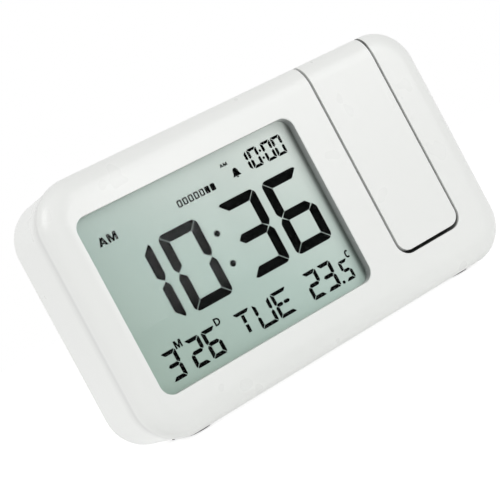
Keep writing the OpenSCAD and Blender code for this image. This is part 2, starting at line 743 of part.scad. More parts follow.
module battery_leads() color([0.7, 0.1, 0.1]) for (i = [0, cell_n - 1]) {
    x = tray_x1 + tray_wall;
    z = cell_axis(i);
    wire([[x, cell_y, z], [x + 3, cell_y, z], [x + 3, board_back, z]], lead_r);
}

module door_outline(grow) {
    over = door_over + grow - 0.2;
    round_rect((tray_x0 + tray_x1) / 2, (tray_z0 + tray_z1) / 2, tray_x1 - tray_x0 + 2 * over,
        tray_z1 - tray_z0 + 2 * over, door_r);
}

module battery_door() color(white) difference() {
    union() {
        along_y(door_y, y_rear) door_outline(-gap / 2);
        x = (tray_x0 + tray_x1 - latch_w) / 2;
        block(x, x + latch_w, door_y - latch_l, door_y + fit, tray_z1 - gap - latch_t, tray_z1 - gap);
    }
    translate([(tray_x0 + tray_x1) / 2, y_rear + notch_out, tray_z1 - notch_r]) rotate([0, 90, 0])
        cylinder(r = notch_r, h = notch_w, center = true);
}

// ---- controls ----

module snooze_bar() color(white) {
    translate([0, 0, z_top - bar_t]) linear_extrude(bar_t)
        round_rect(bar_x, bar_y, bar_l, bar_w, bar_w / 4 - gap);
    translate([0, 0, bar_flange_z]) linear_extrude(bar_flange_t) round_rect(bar_x, bar_y,
        bar_l + 2 * bar_flange_over, bar_w + 2 * bar_flange_over, bar_w / 4);
    stem_z = snooze_pin_z + bar_travel + fit;
    translate([bar_x, snooze_y, stem_z]) cylinder(r = 1.2, h = bar_flange_z - stem_z + 0.1);
}

// setting button number i, counted from the left seen from the front
module setting_button(i) {
    x = button_x0 + i * button_pitch;
    along_y(flange_y, button_y1) pill(x, panel_z, button_w, button_h);
    along_y(flange_y, flange_y + flange_t)
        pill(x, panel_z, button_w + 2 * flange_over, button_h + 2 * flange_over);
    rod_y(x, panel_z, 1.4, button_y0, flange_y + 0.1);
}

module button_mode() color(white) setting_button(0);
module button_alarm() color(white) setting_button(1);
module button_light() color(white) setting_button(2);
module button_up() color(white) setting_button(3);
module button_down() color(white) setting_button(4);

module projector_switch() color(dark) {
    along_y(flange_y, button_y1 - 0.5) pill(switch_x, panel_z, switch_w, switch_h);
    along_y(flange_y, flange_y + flange_t) round_rect(switch_x, panel_z, switch_w + 4, switch_h + 2.4, 0.5);
    for (dx = [-1, 0, 1])
        translate([switch_x + dx, button_y1 - 0.5, panel_z]) cube([0.4, 0.8, 1.6], center = true);
}

// ---- projector arm ----

// side view of the arm in Y and Z
module arm_profile() {
    edge = edge_points(edge_w, edge_d);
    polygon(concat([[hinge_y, arm_z], [y_front, arm_z]],
        [for (p = edge) [y_front + p[1], z_top - p[0]]], [[hinge_y, z_top]]));
    translate([hinge_y - cut, arm_z]) square([arm_back - hinge_y + cut, hinge_z - arm_z]);
    intersection() {
        translate([hinge_y, hinge_z]) circle(barrel_r);
        translate([hinge_y - cut, hinge_z - barrel_r]) square([cut + barrel_r, 2 * barrel_r]);
    }
}

module arm_front_cover() color(white) difference() {
    union() {
        difference() {
            intersection() {
                along_x(arm_x0, arm_x1) arm_profile();
                along_y(y_front - cut, well_back) arm_outline(0, 0, z_top + cut);
            }
            block(room_x0, room_x1, room_y, arm_back + cut, room_z0, plate_z1);
            block(room_x0, room_x1, room_y, hinge_y + barrel_in_r - 1, plate_z1 - cut, room_z1);
            rod_x(hinge_y, hinge_z, barrel_in_r, barrel_in_x0, barrel_in_x1);
            block(barrel_in_x0, barrel_in_x1, hinge_y - 3, hinge_y + 3, room_z1 - cut, hinge_z);
        }
        for (z = [focus_z - wheel_t / 2 - bearing_gap - bearing_t, focus_z + wheel_t / 2 + bearing_gap])
            block(room_x0 - cut, room_x1 + cut, room_y - cut, lens_y + bearing_y, z, z + bearing_t);
        for (x = [room_x0 + arm_boss_x, room_x1 - arm_boss_x])
            rod_y(x, arm_boss_z, arm_boss_r, room_y - cut, plate_y - run_gap);
    }
    optic(tube_r + run_gap, arm_z - cut, tube_z + tube_l + cut);
    rod_x(hinge_y, hinge_z, pin_r + run_gap, arm_x0 - cut, barrel_in_x0 + cut);
    rod_x(hinge_y, hinge_z, pin_r + run_gap, barrel_in_x1 - cut, arm_x1 + cut);
    for (x = [room_x0 + arm_boss_x, room_x1 - arm_boss_x])
        rod_y(x, arm_boss_z, arm_screw_r, room_y + 1, plate_y + cut);
}

module arm_back_cover() color(white) difference() {
    block(room_x0 + fit, room_x1 - fit, plate_y, arm_back, room_z0 + fit, plate_z1 - fit);
    block(arm_x - wheel_r + 1, arm_x + wheel_r - 1, plate_y - cut, arm_back + cut,
        focus_z - wheel_t / 2 - bearing_gap, focus_z + wheel_t / 2 + bearing_gap);
    for (x = [room_x0 + arm_boss_x, room_x1 - arm_boss_x]) {
        rod_y(x, arm_boss_z, arm_screw_r + fit, plate_y - cut, arm_back);
        rod_y(x, arm_boss_z, arm_head_r + 0.2, arm_seat, arm_back + cut);
    }
}

module arm_screws() color(steel) for (x = [room_x0 + arm_boss_x, room_x1 - arm_boss_x])
    screw(x, arm_boss_z, arm_seat + arm_head_h, room_y + 1.6, arm_screw_r, arm_head_r, arm_head_h);

module hinge_pins() color(steel) for (side = [-1, 1]) {
    wall_x = side < 0 ? slot_x0 - well_wall : slot_x1 + well_wall;
    tip_x = wall_x - side * (well_wall + arm_gap + pin_l);
    head_x = wall_x + side * pin_head_t;
    difference() {
        union() {
            rod_x(hinge_y, hinge_z, pin_r, min(wall_x, tip_x), max(wall_x, tip_x));
            rod_x(hinge_y, hinge_z, pin_head_r, min(wall_x, head_x), max(wall_x, head_x));
        }
        rod_x(hinge_y, hinge_z, pin_bore, min(head_x, tip_x) - cut, max(head_x, tip_x) + cut);
    }
}

module friction_washers() color(steel) for (x = [slot_x0 + fit, slot_x1 - fit - washer_t]) difference() {
    rod_x(hinge_y, hinge_z, washer_r, x, x + washer_t);
    rod_x(hinge_y, hinge_z, pin_r + run_gap, x - cut, x + washer_t + cut);
}

module projector_board() color(green) block(room_x0 + fit, room_x1 - fit, room_y + fit, plate_y - fit,
    pboard_z, pboard_z + pboard_t);

module projector_lamp() color([0.9, 0.3, 0.25]) {
    optic(lamp_r, lamp_z + lamp_r, pboard_z);
    optic(lamp_r + 0.4, pboard_z - 1, pboard_z);
    translate([arm_x, lens_y, lamp_z + lamp_r]) sphere(lamp_r);
}

module optics_holder() color(dark) difference() {
    block(arm_x - holder_w / 2, arm_x + holder_w / 2, room_y, plate_y - fit, holder_z, holder_z + holder_h);
    optic(holder_bore, holder_z + slide_t, holder_z + holder_h + cut);
    block(arm_x - slide_w / 2 - fit, arm_x + slide_w / 2 + fit, room_y - cut, plate_y, holder_z - cut,
        holder_z + slide_t);
}

module projection_slide() color([0.5, 0.55, 0.55]) block(arm_x - slide_w / 2, arm_x + slide_w / 2,
    room_y, plate_y - fit, holder_z, holder_z + slide_t);

// a lens of radius r, t thick at the rim and crowned by c on each side, lying on z
module lens(r, t, c, z) {
    share = [for (i = [0:8]) i / 8];
    back = [for (s = share) [r * s, c * (s * s - 1)]];
    face = [for (i = [8:-1:0]) [back[i][0], t - back[i][1]]];
    translate([arm_x, lens_y, z]) rotate_extrude() polygon(concat(back, face));
}

module condenser_lens() color([0.85, 0.92, 0.95, 0.5])
    lens(holder_bore, condenser_t, condenser_crown, condenser_z);

module projection_lens() color([0.85, 0.92, 0.95, 0.5])
    lens(tube_r - tube_wall, lens_t, lens_crown, tube_z + lens_inset);

module lens_tube() color(dark) difference() {
    optic(tube_r, tube_z, tube_z + tube_l);
    optic(tube_r - tube_wall, tube_z - cut, tube_z + tube_l + cut);
}

module focus_wheel() color(dark) difference() {
    optic(wheel_r, focus_z - wheel_t / 2, focus_z + wheel_t / 2);
    optic(tube_r + run_gap, focus_z - wheel_t / 2 - cut, focus_z + wheel_t / 2 + cut);
    for (a = [0:18:342]) translate([arm_x, lens_y, focus_z - wheel_t / 2 - cut]) rotate(a)
        translate([wheel_r, 0, 0]) cylinder(r = 0.35, h = wheel_t + 2 * cut, $fn = 16);
}

module arm_lead() color([0.7, 0.1, 0.1]) {
    x = arm_x0 + pin_l + 3;
    wire([[x, hinge_y, pboard_z + pboard_t], [x, hinge_y, hinge_z], [slot_x0 + 2, hinge_y, hinge_z]], lead_r);
}

module case_lead() color([0.7, 0.1, 0.1]) {
    x = slot_x0 - well_wall - pin_head_t;
    pad_x = window_x + window_w / 2 - 2;
    pad_z = window_z + window_h / 2 - 7;
    wire([[pad_x, board_back, pad_z], [pad_x, board_back + 3, pad_z], [pad_x + 3, board_back + 1, pad_z + 8],
        [x - 4, hinge_y, hinge_z], [slot_x0 + 1.5, hinge_y, hinge_z]], lead_r);
}

front_shell();
rear_shell();
window_pane();
display_glass();
display_segments();
display_frame();
light_guide();
backlight_lamps();
contact_strip();
main_board();
processor();
quartz_crystal();
capacitor();
temperature_sensor();
snooze_switch();
key_board();
key_switches();
switch_base();
key_ribbon();
sounder();
battery_cells();
contact_springs();
contact_plates();
battery_leads();
battery_door();
snooze_bar();
button_mode();
button_alarm();
button_light();
button_up();
button_down();
projector_switch();
arm_front_cover();
arm_back_cover();
hinge_pins();
friction_washers();
projector_board();
projector_lamp();
optics_holder();
condenser_lens();
projection_slide();
lens_tube();
projection_lens();
focus_wheel();
arm_lead();
case_lead();
case_screws();
board_screws();
key_screws();
arm_screws();
feet();
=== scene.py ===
import json
import math

import bmesh
import bpy
from mathutils import Matrix, Vector


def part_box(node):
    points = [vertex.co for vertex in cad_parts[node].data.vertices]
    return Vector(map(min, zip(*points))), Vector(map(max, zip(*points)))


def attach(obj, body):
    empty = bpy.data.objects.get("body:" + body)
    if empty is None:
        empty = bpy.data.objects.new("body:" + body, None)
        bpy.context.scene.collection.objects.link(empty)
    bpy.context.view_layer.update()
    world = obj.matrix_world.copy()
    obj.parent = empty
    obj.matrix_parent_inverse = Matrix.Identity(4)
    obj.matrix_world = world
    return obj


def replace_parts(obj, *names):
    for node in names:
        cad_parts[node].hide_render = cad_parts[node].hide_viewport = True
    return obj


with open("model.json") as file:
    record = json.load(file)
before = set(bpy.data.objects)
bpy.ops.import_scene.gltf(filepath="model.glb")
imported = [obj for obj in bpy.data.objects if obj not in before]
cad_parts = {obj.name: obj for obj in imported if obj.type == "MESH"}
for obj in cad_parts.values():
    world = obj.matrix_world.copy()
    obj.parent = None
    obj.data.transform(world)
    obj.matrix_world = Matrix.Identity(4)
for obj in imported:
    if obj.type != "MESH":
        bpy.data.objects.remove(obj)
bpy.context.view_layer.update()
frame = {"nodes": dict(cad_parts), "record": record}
NODES = frame["nodes"]
SCENE = bpy.context.scene
MM = 0.001


# ---- camera: the photograph's viewing angle; the picture itself is turned by 28 degrees ----

YAW, PITCH, TURN = math.radians(27.13), math.radians(-0.81), math.radians(28.2)
CAMERA_PLACE = (-0.20674, -0.38735, 0.04628)
CAMERA_LENS, CAMERA_SENSOR = 98.9, 36
CAMERA_CLIP = (0.01, 20)


def make_camera():
    forward = Vector((math.sin(YAW) * math.cos(PITCH), math.cos(YAW) * math.cos(PITCH), math.sin(PITCH)))
    level = Vector((math.cos(YAW), -math.sin(YAW), 0))
    upright = level.cross(forward)
    right = math.cos(TURN) * level - math.sin(TURN) * upright
    up = math.sin(TURN) * level + math.cos(TURN) * upright
    data = bpy.data.cameras.new("camera")
    data.lens, data.sensor_width = CAMERA_LENS, CAMERA_SENSOR
    data.clip_start, data.clip_end = CAMERA_CLIP
    camera = bpy.data.objects.new("camera", data)
    SCENE.collection.objects.link(camera)
    axes = Matrix((right, up, -forward)).transposed().to_4x4()
    camera.matrix_world = Matrix.Translation(CAMERA_PLACE) @ axes
    SCENE.camera = camera


make_camera()
SCENE.view_settings.view_transform = "Standard"


# ---- node helpers ----

class Graph:
    """A material or world under construction."""

    def __init__(self, owner):
        owner.use_nodes = True
        self.tree = owner.node_tree
        self.tree.nodes.clear()

    def add(self, kind, inputs=None, **props):
        """A node; each input is a value or the socket that feeds it."""
        node = self.tree.nodes.new(kind)
        for key, value in props.items():
            setattr(node, key, value)
        for key, value in (inputs or {}).items():
            if isinstance(value, bpy.types.NodeSocket):
                self.tree.links.new(value, node.inputs[key])
            else:
                node.inputs[key].default_value = value
        return node

    def where(self, scale=(1, 1, 1)):
        """The piece's own coordinates, in metres, times scale."""
        coords = self.add("ShaderNodeTexCoord")
        return self.add("ShaderNodeMapping", {0: coords.outputs["Object"], "Scale": scale}).outputs[0]

    def axes(self, vector=None):
        """The X, Y and Z of a vector, or else of the piece's own coordinates."""
        return self.add("ShaderNodeSeparateXYZ", {0: self.where() if vector is None else vector}).outputs

    def noise(self, size, detail=2, stretch=(1, 1, 1)):
        """Noise with features of about that size in metres."""
        at = self.where(tuple(s / size for s in stretch))
        return self.add("ShaderNodeTexNoise", {"Vector": at, "Scale": 1, "Detail": detail}).outputs["Fac"]

    def ramp(self, value, stops):
        """Colour between stops of (place, colour)."""
        node = self.add("ShaderNodeValToRGB", {0: value})
        slots = node.color_ramp.elements
        while len(slots) < len(stops):
            slots.new(0.5)
        for slot, (place, colour) in zip(slots, stops):
            slot.position = place
            slot.color = (*colour, 1)
        return node.outputs[0]

    def span(self, value, low, high, start=0.0, end=1.0, **props):
        """Maps the value from start..end to low..high, and holds it there."""
        inputs = {0: value, 1: start, 2: end, 3: low, 4: high}
        return self.add("ShaderNodeMapRange", inputs, **props).outputs[0]

    def math(self, operation, a, b=0.0):
        return self.add("ShaderNodeMath", {0: a, 1: b}, operation=operation).outputs[0]

    def scaled(self, colour, factor):
        return self.add("ShaderNodeVectorMath", {0: colour, "Scale": factor}, operation="SCALE").outputs[0]

    def bump(self, height, depth, strength=1.0, after=None):
        inputs = {"Height": height, "Distance": depth, "Strength": strength}
        if after is not None:
            inputs["Normal"] = after
        return self.add("ShaderNodeBump", inputs).outputs[0]

    def finish(self, shader):
        self.add("ShaderNodeOutputMaterial", {0: shader})

    def principled(self, tint, gloss, normal, **sockets):
        """Ends the material with one principled shader."""
        self.finish(self.add("ShaderNodeBsdfPrincipled", {"Base Color": tint, "Roughness": gloss,
                                                          "Normal": normal, **sockets}).outputs[0])


MATERIALS = {}


def material(name, build):
    """The material of that name, made once."""
    if name not in MATERIALS:
        made = bpy.data.materials.new(name)
        build(Graph(made))
        MATERIALS[name] = made
    return MATERIALS[name]


def shade(colour, factor):
    return tuple(c * factor for c in colour)


# ---- looks that several slots share ----

SHALLOW = 0.004 * MM                    # depth of fine grain, drawn lines and flow marks
BAND = (0.3, 0.7)                       # the part of a noise's values that shows


def plastic(colour, rough, grain=0.12 * MM, depth=SHALLOW, spread=0.004, shade_paint=None, **sockets):
    """Moulded plastic: fine grain, slow unevenness of gloss and a trace of colour variation. An optional
    function gives a factor of painted shade that darkens it in some places."""
    def build(g):
        slow = g.noise(14 * MM, 2)
        fine = g.noise(grain, 3)
        wave = g.noise(6 * MM, 1)
        tint = g.ramp(slow, [(0.0, shade(colour, 1 - spread)), (1.0, shade(colour, 1 + spread))])
        if shade_paint is not None:
            # painted shade, where the function gives it
            tint = g.scaled(tint, shade_paint(g))
        gloss = g.span(slow, rough * 0.93, rough * 1.07)
        g.principled(tint, gloss, g.bump(fine, depth, 0.6, g.bump(wave, SHALLOW, 0.25)), **sockets)
    return build


def metal(colour, rough, stretch=(1, 1, 1)):
    """Plated or rolled metal with fine drawn lines and faint stains."""
    def build(g):
        lines = g.noise(0.25 * MM, 4, stretch)
        stain = g.noise(3 * MM, 3)
        tint = g.ramp(stain, [(BAND[0], shade(colour, 0.9)), (BAND[1], colour)])
        gloss = g.span(lines, rough * 0.8, rough * 1.25, *BAND)
        g.principled(tint, gloss, g.bump(lines, SHALLOW, 0.5), Metallic=1.0)
    return build


def clear(colour, rough, weight, ior):
    """Clear moulding with faint flow marks, that lets a share of the light through."""
    def build(g):
        flow = g.noise(2.5 * MM, 2, (1, 1, 0.4))
        gloss = g.span(flow, rough * 0.7, rough * 1.3, *BAND)
        through = {"Transmission Weight": weight, "IOR": ior}
        g.principled((*colour, 1), gloss, g.bump(flow, SHALLOW, 0.3), **through)
    return build


# ---- looks of one slot ----

def pane(g):
    """Clear window: lets the display through as it is, with a weak reflection."""
    flow = g.noise(9 * MM, 2, (1, 1, 0.4))
    normal = g.bump(flow, SHALLOW, 0.3)
    through = g.add("ShaderNodeBsdfTransparent", {"Color": (0.97, 0.975, 0.97, 1)})
    gloss = g.span(flow, 0.03, 0.06, *BAND)
    gleam = g.add("ShaderNodeBsdfGlossy", {"Color": (1, 1, 1, 1), "Roughness": gloss, "Normal": normal})
    fresnel = g.add("ShaderNodeFresnel", {"IOR": 1.35, "Normal": normal})
    weight = g.math("MULTIPLY", fresnel.outputs[0], 0.1)
    g.finish(g.add("ShaderNodeMixShader", {0: weight, 1: through.outputs[0], 2: gleam.outputs[0]}).outputs[0])


# painted shade on the recess sheet: tones from the front to the foot, for the wall that faces left and for
# the others
SHEET_SHADED_TONES = [(0.0, (0.50, 0.51, 0.50)), (0.2, (0.27, 0.28, 0.275)), (0.75, (0.20, 0.21, 0.205)),
                (1.0, (0.10, 0.115, 0.11))]
SHEET_PALE_TONES = [(0.0, (0.80, 0.81, 0.79)), (0.5, (0.66, 0.67, 0.655)), (1.0, (0.50, 0.54, 0.52))]


def recess_shade_sheet(g):
    """Thin sheet on the walls of the window recess that carries painted shade: grey on the wall that faces
    left, pale on the others, darker towards its foot."""
    front, pane_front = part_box("front_shell")[0].y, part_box("window_pane")[0].y
    foot = g.span(g.axes()[1], 0, 1, front, pane_front)
    normal = g.add("ShaderNodeTexCoord").outputs["Normal"]
    left_face = g.math("MULTIPLY", g.axes(normal)[0], -1.0)
    grain = g.noise(0.15 * MM, 2)
    tint = g.add("ShaderNodeMix", {0: g.span(left_face, 0, 1, 0.0, 0.75), 6: g.ramp(foot, SHEET_PALE_TONES),
                                   7: g.ramp(foot, SHEET_SHADED_TONES)}, data_type="RGBA").outputs[2]
    g.principled(tint, g.span(grain, 0.5, 0.65), g.bump(grain, SHALLOW, 0.5))


DISPLAY_LIGHT_RISE = (0.52, 0.48)             # shares of the way along and the way up in the rise of painted light
DISPLAY_TINTS = [(0.0, (0.40, 0.505, 0.45)), (0.2, (0.378, 0.476, 0.432)), (0.45, (0.40, 0.495, 0.46)),
                 (1.0, (0.61, 0.64, 0.62))]
DISPLAY_LIGHT_LEAN = (0.91, 1.08)             # painted light: brightness at the left and at the right edge
WALL_SHADOW = (2.5 * MM, 0.5 * MM)      # the right wall's shadow starts and is full so far from the edge
WALL_SHADE = 0.2                        # brightness in that shadow
# painted glow: the reflective display gives off light of its own tone
DISPLAY_PAINTED_GLOW = 0.27


def display_glass(g):
    """Grey-green reflective display with painted light: the tone rises to the upper right and leans brighter
    to the right, a painted glow lifts it, and a painted shadow darkens it by the right wall."""
    low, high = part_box("display_glass")
    at = g.axes()
    along = g.span(at[0], 0, 1, low.x, high.x)
    upward = g.span(at[2], 0, 1, low.z, high.z)
    shares = [g.math("MULTIPLY", way, share) for way, share in zip((along, upward), DISPLAY_LIGHT_RISE)]
    rise = g.math("ADD", *shares)
    grain = g.noise(0.09 * MM, 2)
    lit_tint = g.ramp(g.math("ADD", rise, g.span(grain, -0.02, 0.02)), DISPLAY_TINTS)
    shadow = g.span(at[0], 1.0, WALL_SHADE, high.x - WALL_SHADOW[0], high.x - WALL_SHADOW[1],
                    interpolation_type="SMOOTHSTEP")
    tint = g.scaled(lit_tint, g.math("MULTIPLY", shadow, g.span(along, *DISPLAY_LIGHT_LEAN)))
    g.principled(tint, g.span(grain, 0.34, 0.42), g.bump(grain, 0.003 * MM, 0.4),
                 **{"Specular IOR Level": 0.2, "Emission Color": tint, "Emission Strength": DISPLAY_PAINTED_GLOW})


def circuit_board(g):
    """Green lacquer over a maze of copper tracks, with round pads."""
    at = g.where((380, 380, 380))
    cells = g.add("ShaderNodeTexVoronoi", {"Vector": at, "Scale": 1.0}, feature="DISTANCE_TO_EDGE",
                  distance="EUCLIDEAN").outputs["Distance"]
    track = g.span(cells, 1, 0, 0.05, 0.08)
    pads = g.add("ShaderNodeTexVoronoi", {"Vector": at, "Scale": 0.7}).outputs["Distance"]
    pad = g.span(pads, 1, 0, 0.10, 0.13)
    laid = g.math("MAXIMUM", track, pad)
    tint = g.ramp(laid, [(0.0, (0.012, 0.085, 0.04)), (1.0, (0.05, 0.2, 0.09))])
    g.principled(tint, 0.35, g.bump(laid, 0.03 * MM, 0.8))


CELL_METAL, CELL_DARK, CELL_BAND = (0.55, 0.55, 0.56), (0.03, 0.035, 0.045), (0.45, 0.3, 0.12)
CELL_RINGS = [(0.0, CELL_METAL), (0.03, CELL_DARK), (0.74, CELL_DARK), (0.745, CELL_BAND), (0.965, CELL_BAND),
              (0.97, CELL_METAL)]


def cell_jacket(g):
    """Plain battery jacket: dark, with a copper-coloured band towards one end and bare metal at both ends."""
    low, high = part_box("battery_cells")
    along = g.span(g.axes()[0], 0, 1, low.x, high.x)
    scuff = g.noise(0.8 * MM, 3)
    normal = g.bump(scuff, 0.01 * MM, 0.3)
    g.principled(g.ramp(along, CELL_RINGS), g.span(scuff, 0.28, 0.4), normal, Metallic=0.35)


def ribbon(g):
    """Flat ribbon of parallel wires, 1 mm apart, with painted shade in the grooves between them."""
    ridge = g.math("ABSOLUTE", g.math("SINE", g.math("MULTIPLY", g.axes()[0], math.pi / MM)))
    tint = g.ramp(ridge, [(0.1, (0.16, 0.16, 0.17)), (0.5, (0.42, 0.42, 0.43))])
    g.principled(tint, 0.5, g.bump(ridge, 0.2 * MM, 0.8))


CASE_LOOK = (0.855, 0.865, 0.845), 0.28
SLOT_LOOKS = {
    "case_white": plastic(*CASE_LOOK),
    "key_white": plastic((0.82, 0.83, 0.81), 0.38),
    "clear_pane": pane,
    "display": display_glass,
    "display_ink": plastic((0.0012, 0.0015, 0.0015), 0.6, spread=0.2, **{"Specular IOR Level": 0.0}),
    "inner_white": plastic((0.74, 0.75, 0.73), 0.5),
    "board_green": circuit_board,
    "black_plastic": plastic((0.018, 0.018, 0.02), 0.42, spread=0.2),
    "rubber_black": plastic((0.022, 0.022, 0.023), 0.75, 0.3 * MM, 0.02 * MM, 0.2),
    "steel": metal((0.62, 0.63, 0.65), 0.3),
    "brass": metal((0.72, 0.52, 0.22), 0.32),
    "can_metal": metal((0.66, 0.67, 0.69), 0.28, (0.1, 1, 1)),
    "cell_jacket": cell_jacket,
    "lead_red": plastic((0.42, 0.03, 0.025), 0.4),
    "ribbon_grey": ribbon,
    "lens_clear": clear((0.97, 0.99, 1), 0.03, 1.0, 1.49),
    "lamp_clear": clear((0.95, 0.95, 0.85), 0.12, 0.7, 1.5),
    "lamp_red": clear((0.75, 0.08, 0.06), 0.12, 0.6, 1.5),
}


def dress(obj, slot):
    """Gives a piece or CAD node the look of a material slot."""
    obj.data.materials.clear()
    obj.data.materials.append(material(slot, SLOT_LOOKS[slot]))


for part in frame["record"]["subparts"]:
    dress(NODES[part["node"]], part["material_slot"])


# ---- the case: painted shade along its seam and in its slot, soft edges ----

SEAM_REACH = (5.0 * MM, 12.5 * MM)      # the painted shade begins and ends so far behind the front
# painted shade along the seam: brightness from the start of the band to its end
SEAM_SHADE_FADES = ((0.0, 1.0), (0.13, 0.88), (0.2, 0.81), (0.29, 0.80), (0.42, 0.84), (0.65, 0.93), (1.0, 1.0))
SLOT_SHADE = 0.72                       # how much painted shade darkens the inside of the arm's slot
SLOT_SHADE_REACH = (0.5 * MM, 1.6 * MM)  # that shade begins and is full so far behind the front
SLOT_SIDE, SLOT_FOOT, SLOT_BACK = 0.15 * MM, 1.3 * MM, 0.7 * MM     # how far it goes past the arm's parts


def case_painted_shade(g):
    """Painted shade along the seam between the shells, fading backwards, and inside the slot of the arm."""
    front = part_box("front_shell")[0].y
    slot_low, slot_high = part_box("friction_washers")
    arm_low, arm_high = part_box("arm_front_cover")
    at = g.axes()
    behind = g.span(at[1], 0, 1, *(front + reach for reach in SEAM_REACH))
    seam_shade = g.ramp(behind, [(place, (v, v, v)) for place, v in SEAM_SHADE_FADES])
    middle, half = (slot_low.x + slot_high.x) / 2, (slot_high.x - slot_low.x) / 2 + SLOT_SIDE
    between = g.math("LESS_THAN", g.math("ABSOLUTE", g.math("SUBTRACT", at[0], middle)), half)
    above = g.math("GREATER_THAN", at[2], arm_low.z - SLOT_FOOT)
    before = g.math("LESS_THAN", at[1], arm_high.y + SLOT_BACK)
    inside = g.math("MULTIPLY", between, g.math("MULTIPLY", above, before))
    deep = g.span(at[1], 0, SLOT_SHADE, *(front + reach for reach in SLOT_SHADE_REACH))
    return g.math("MULTIPLY", seam_shade, g.math("SUBTRACT", 1.0, g.math("MULTIPLY", inside, deep)))


for name in ("front_shell", "rear_shell"):
    NODES[name].data.materials[0] = material("case_shell", plastic(*CASE_LOOK, shade_paint=case_painted_shade))

WELD_REACH = 1e-6
FLAT_ANGLE, SHARP_ANGLE = math.radians(0.3), math.radians(30)
SOFT_EDGES = {"front_shell": 0.25, "rear_shell": 0.25, "arm_front_cover": 0.25, "battery_door": 0.2,
              "snooze_bar": 0.3, "button_mode": 0.3, "button_alarm": 0.3, "button_light": 0.3,
              "button_up": 0.3, "button_down": 0.3, "projector_switch": 0.2, "arm_back_cover": 0.2,
              "feet": 0.3}


def soften(obj, width):
    """Rounds the sharp edges of a CAD node and evens its shading."""
    weld = obj.modifiers.new("weld", "WELD")
    weld.merge_threshold = WELD_REACH
    flat = obj.modifiers.new("flat", "DECIMATE")
    flat.decimate_type = "DISSOLVE"
    flat.angle_limit = FLAT_ANGLE
    bevel = obj.modifiers.new("bevel", "BEVEL")
    bevel.width, bevel.segments = width, 3
    bevel.limit_method, bevel.angle_limit = "ANGLE", SHARP_ANGLE
    bevel.harden_normals = False
    bevel.use_clamp_overlap = True
    for poly in obj.data.polygons:
        poly.use_smooth = True
    normals = obj.modifiers.new("normals", "WEIGHTED_NORMAL")
    normals.keep_sharp = True
    normals.weight = 100


for name, width in SOFT_EDGES.items():
    soften(NODES[name], width * MM)


# ---- mesh helpers: outlines are lists of (x, z) in millimetres ----

def plate(bm, outline, y0, y1):
    """Closed plate over an outline, between two depths."""
    near, far = [[bm.verts.new((x * MM, y * MM, z * MM)) for x, z in outline] for y in (y0, y1)]
    bm.faces.new(near)
    bm.faces.new(far[::-1])
    for i in range(len(outline)):
        bm.faces.new((near[i - 1], far[i - 1], far[i], near[i]))


def band(bm, outer, inner, y0, y1):
    """Closed ring between two outlines of the same length."""
    loops = [[bm.verts.new((x * MM, y * MM, z * MM)) for x, z in outline]
             for outline, y in ((outer, y0), (inner, y0), (inner, y1), (outer, y1))]
    for a, b in zip(loops, loops[1:] + loops[:1]):
        for i in range(len(outer)):
            bm.faces.new((a[i - 1], a[i], b[i], b[i - 1]))


def sides(points, width, closed):
    """The two edges of a line of that width through the points, mitred at its bends."""
    left, right = [], []
    count = len(points)
    for i, (x, z) in enumerate(points):
        ways = []
        for a, b in ((i - 1, i), (i, i + 1)):
            if closed or (a >= 0 and b < count):
                p, q = points[a % count], points[b % count]
                length = math.hypot(q[0] - p[0], q[1] - p[1])
                ways.append(((p[1] - q[1]) / length, (q[0] - p[0]) / length))
        nx, nz = sum(w[0] for w in ways), sum(w[1] for w in ways)
        reach = width / max(nx * ways[0][0] + nz * ways[0][1], 0.6) / 2
        left.append((x + nx * reach, z + nz * reach))
        right.append((x - nx * reach, z - nz * reach))
    return left, right


def stroke(bm, points, width, y0, y1, closed=False):
    """Closed plate or ring that follows a line."""
    left, right = sides(points, width, closed)
    if closed:
        band(bm, left, right, y0, y1)
    else:
        plate(bm, left + right[::-1], y0, y1)


def arc(x, z, r, start, end, steps=16):
    """Points on a circle from one angle to another, in degrees."""
    angles = [math.radians(start + (end - start) * i / steps) for i in range(steps + 1)]
    return [(x + r * math.cos(a), z + r * math.sin(a)) for a in angles]


def circle(x, z, r):
    return arc(x, z, r, 0, 360, 20)[:-1]


def rounded(x0, x1, z0, z1, r, steps):
    """Rectangle with round corners."""
    corners = ((x1 - r, z1 - r, 0), (x0 + r, z1 - r, 90), (x0 + r, z0 + r, 180), (x1 - r, z0 + r, 270))
    return [p for x, z, a in corners for p in arc(x, z, r, a, a + 90, steps)]


def piece(name, bm, body, slot, look=None):
    """Turns a mesh under construction into a piece that rides on a body."""
    bmesh.ops.recalc_face_normals(bm, faces=bm.faces)
    mesh = bpy.data.meshes.new(name)
    bm.to_mesh(mesh)
    bm.free()
    obj = bpy.data.objects.new(name, mesh)
    SCENE.collection.objects.link(obj)
    dress(obj, slot)
    if look is not None:
        obj.data.materials[0] = look
    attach(obj, body)
    return obj


# ---- display: signs beside the bars of the numbers, clear window, a sheet of painted shade in the recess ----

INK = [v.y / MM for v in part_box("display_segments")]
PANE = [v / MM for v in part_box("window_pane")]
MARK_X = (PANE[0].x + PANE[1].x) / 2 + 0.36      # middle of the display's marks
MARK_Z = (PANE[0].z + PANE[1].z) / 2


def letter_a(bm, x, z, w, h, t):
    """The sign A in a box w wide and h high, drawn with lines about t wide."""
    foot, apex = 1.1 * t, h - 1.3 * t
    bar = 0.2 * h, 0.2 * h + 0.7 * t
    outer = [[(w / 2 - 0.55 * t) * v / h, v] for v in (bar[0], h)]
    inner = [[foot + (w / 2 - 0.02 - foot) * v / apex, v] for v in (bar[0], bar[1], apex)]
    ring = [[*side, *[(w - u, v) for u, v in side[::-1]]] for side in (outer, inner[1:])]
    leg = [(0, 0), outer[0], inner[0], (foot, 0)]
    band(bm, *[[(x + u, z + v) for u, v in loop] for loop in ring], *INK)
    for way in (1, -1):
        plate(bm, [(x + w / 2 + way * (u - w / 2), z + v) for u, v in leg], *INK)


